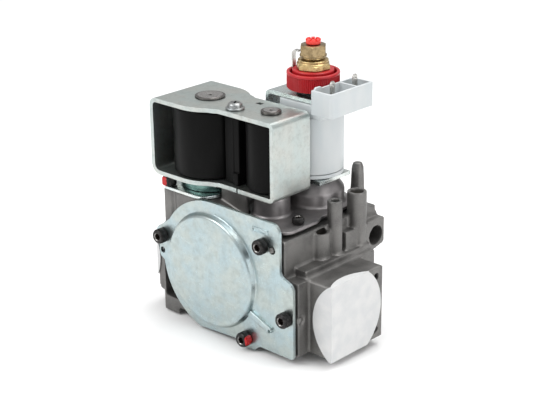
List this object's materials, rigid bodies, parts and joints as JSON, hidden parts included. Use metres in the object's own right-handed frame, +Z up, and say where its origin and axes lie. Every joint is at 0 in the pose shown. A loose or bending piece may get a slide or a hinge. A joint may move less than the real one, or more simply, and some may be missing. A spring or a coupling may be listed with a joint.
{
  "type": "gas valve",
  "caption": "Boiler gas valve: flanged die-cast body with a round diaphragm cover, solenoid coils in a steel yoke, and an electric modulator with pressure adjusters.",
  "frame": {"origin": "centre of the footprint, on the surface the valve rests on", "axes": "+X along the gas flow from the inlet flange to the outlet flange, -Y the side of the round diaphragm cover, +Z up towards the solenoids and the modulator"},
  "size_m": [0.111, 0.071, 0.135],
  "materials": {
    "die_cast": "rough die-cast, matt grey",
    "zinc_sheet": "bright passivated zinc",
    "dark_sheet": "dark glossy sheet",
    "teal_zinc": "blue-green passivated zinc",
    "steel": "plain bright",
    "black_oxide": "black oxide, satin",
    "black_plastic": "satin moulding",
    "white_plastic": "satin moulding",
    "red_plastic": "satin moulding",
    "brass": "turned brass",
    "rubber": "matt",
    "copper": "enamelled copper wire",
    "paper": "matt white label"
  },
  "bodies": {
    "valve": {"adjuster_body": "brass", "adjuster_clip": "steel", "adjuster_collar": "steel", "coil_terminal_1": "brass", "coil_terminal_2": "brass", "coil_terminal_3": "brass", "coil_terminal_block": "black_plastic", "cover_screw_1": "black_oxide", "cover_screw_2": "black_oxide", "cover_screw_3": "black_oxide", "cover_screw_4": "black_oxide", "ev1_base_plate": "zinc_sheet", "ev1_base_screw_1": "black_oxide", "ev1_base_screw_2": "black_oxide", "ev1_base_screw_3": "black_oxide", "ev1_coil": "black_plastic", "ev1_guide_tube": "teal_zinc", "ev1_pole": "steel", "ev1_spring": "steel", "ev2_coil": "black_plastic", "ev2_guide_tube": "steel", "ev2_pole": "steel", "ev2_spring": "steel", "inlet_filter": "steel", "inlet_port_seal": "paper", "main_cover": "zinc_sheet", "main_cover_gasket": "rubber", "main_valve_spring": "steel", "modulator_bobbin": "white_plastic", "modulator_bracket": "zinc_sheet", "modulator_guide_tube": "steel", "modulator_ring": "red_plastic", "modulator_sleeve": "white_plastic", "modulator_terminal_1": "steel", "modulator_terminal_2": "steel", "modulator_winding": "copper", "outlet_port_seal": "paper", "range_spring": "steel", "servo_cover": "dark_sheet", "servo_cover_gasket": "rubber", "servo_cover_screw_1": "black_oxide", "servo_cover_screw_2": "black_oxide", "valve_body": "die_cast", "yoke": "zinc_sheet", "yoke_screw": "zinc_sheet"},
    "ev1_valve": {"ev1_plunger": "steel", "ev1_valve_disc": "rubber"},
    "ev2_valve": {"ev2_plunger": "steel"},
    "main_valve": {"main_diaphragm": "rubber", "diaphragm_plate": "zinc_sheet", "main_valve_stem": "brass"},
    "modulator_core": {"modulator_armature": "steel"},
    "servo_valve": {"servo_diaphragm": "rubber"},
    "spring_carrier": {"range_spring_seat": "brass"},
    "max_nut": {"max_pressure_nut": "brass"},
    "min_screw": {"min_pressure_screw": "red_plastic"},
    "inlet_screw": {"inlet_test_screw": "brass"},
    "outlet_screw": {"outlet_test_screw": "brass"}
  },
  "joints": [
    {"name": "ev1_lift", "type": "slide", "parent": "valve", "child": "ev1_valve", "axis": [0, 0, 1], "range_m": [0, 0.002], "stiffness_N_per_m": 500, "springref_m": -0.006, "deforming": ["ev1_spring"]},
    {"name": "ev2_lift", "type": "slide", "parent": "valve", "child": "ev2_valve", "axis": [0, 0, 1], "range_m": [0, 0.0012], "stiffness_N_per_m": 400, "springref_m": -0.004, "deforming": ["ev2_spring"]},
    {"name": "main_valve_open", "type": "slide", "parent": "valve", "child": "main_valve", "axis": [0, 1, 0], "range_m": [0, 0.0025], "stiffness_N_per_m": 300, "springref_m": -0.005, "deforming": ["main_valve_spring"]},
    {"name": "armature_push", "type": "slide", "parent": "valve", "child": "modulator_core", "axis": [0, 0, -1], "range_m": [0, 0.0012], "stiffness_N_per_m": 300, "springref_m": -0.002},
    {"name": "servo_diaphragm_push", "type": "slide", "parent": "valve", "child": "servo_valve", "axis": [0, 0, -1], "range_m": [0, 0.0012]},
    {"name": "spring_carrier_lift", "type": "slide", "parent": "valve", "child": "spring_carrier", "axis": [0, 0, 1], "range_m": [0, 0.001], "deforming": ["range_spring"]},
    {"name": "max_nut_turn", "type": "hinge", "parent": "spring_carrier", "child": "max_nut", "pos_m": [0.0121, 0.0152, 0.13], "axis": [0, 0, 1], "range_deg": [0, 360]},
    {"name": "min_screw_turn", "type": "hinge", "parent": "max_nut", "child": "min_screw", "pos_m": [0.0121, 0.0152, 0.134], "axis": [0, 0, 1], "range_deg": [-90, 270]},
    {"name": "inlet_screw_turn", "type": "hinge", "parent": "valve", "child": "inlet_screw", "pos_m": [0.035, 0.019, 0.062], "axis": [0, 0, 1], "range_deg": [0, 360]},
    {"name": "outlet_screw_turn", "type": "hinge", "parent": "valve", "child": "outlet_screw", "pos_m": [0.0334, -0.0044, 0.05], "axis": [0, 0, 1], "range_deg": [0, 360]}
  ],
  "couplings": [
    {"joint": "servo_diaphragm_push", "follows": "armature_push", "ratio": 1},
    {"joint": "max_nut_turn", "follows": "spring_carrier_lift", "rad_per_m": 6283.2}
  ]
}
